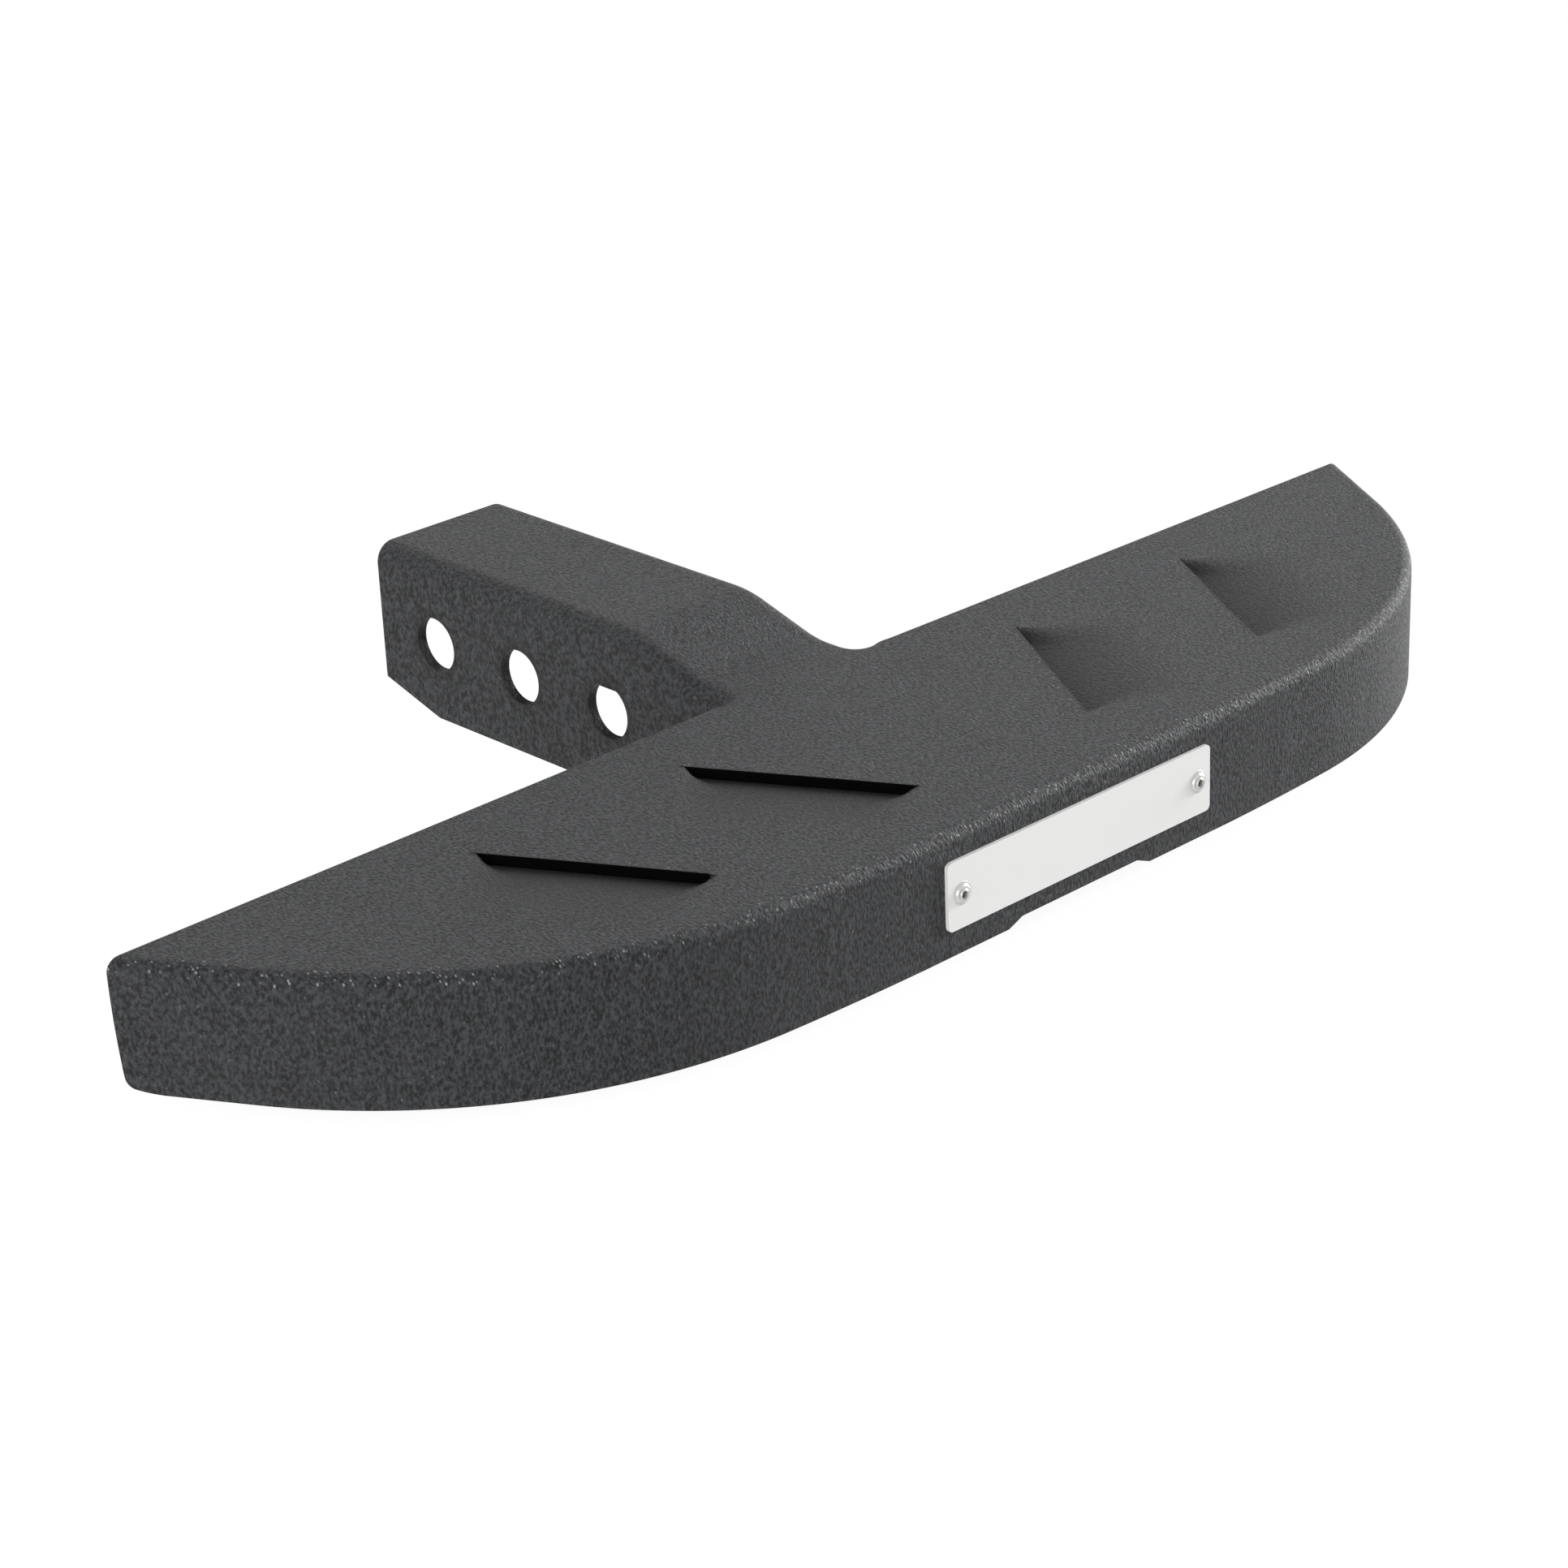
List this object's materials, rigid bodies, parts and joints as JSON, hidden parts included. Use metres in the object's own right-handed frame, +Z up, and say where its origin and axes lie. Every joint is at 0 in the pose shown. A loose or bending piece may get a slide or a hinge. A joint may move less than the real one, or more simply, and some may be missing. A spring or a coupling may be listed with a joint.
{
  "type": "hitch receiver step",
  "caption": "Pressed and folded steel step with lanced louvres in its tread, an S-shaped root and an open-bottomed shank with cross holes that pins into a hitch receiver tube",
  "frame": {"origin": "on the axis of the middle pin hole, in the plane of symmetry", "axes": "+X along the tread, +Y out of the shank's rear end towards the vehicle, +Z up, square to the tread"},
  "size_m": [0.46, 0.2582, 0.049],
  "materials": {
    "textured_coating": "charcoal textured coating, fine pebbles, low sheen",
    "satin_plate": "satin, near white",
    "rivet_metal": "satin"
  },
  "bodies": {
    "root": {"step_shell": "textured_coating", "rib_left": "textured_coating", "rib_right": "textured_coating", "nameplate": "satin_plate", "nameplate_rivets": "rivet_metal"}
  },
  "joints": []
}
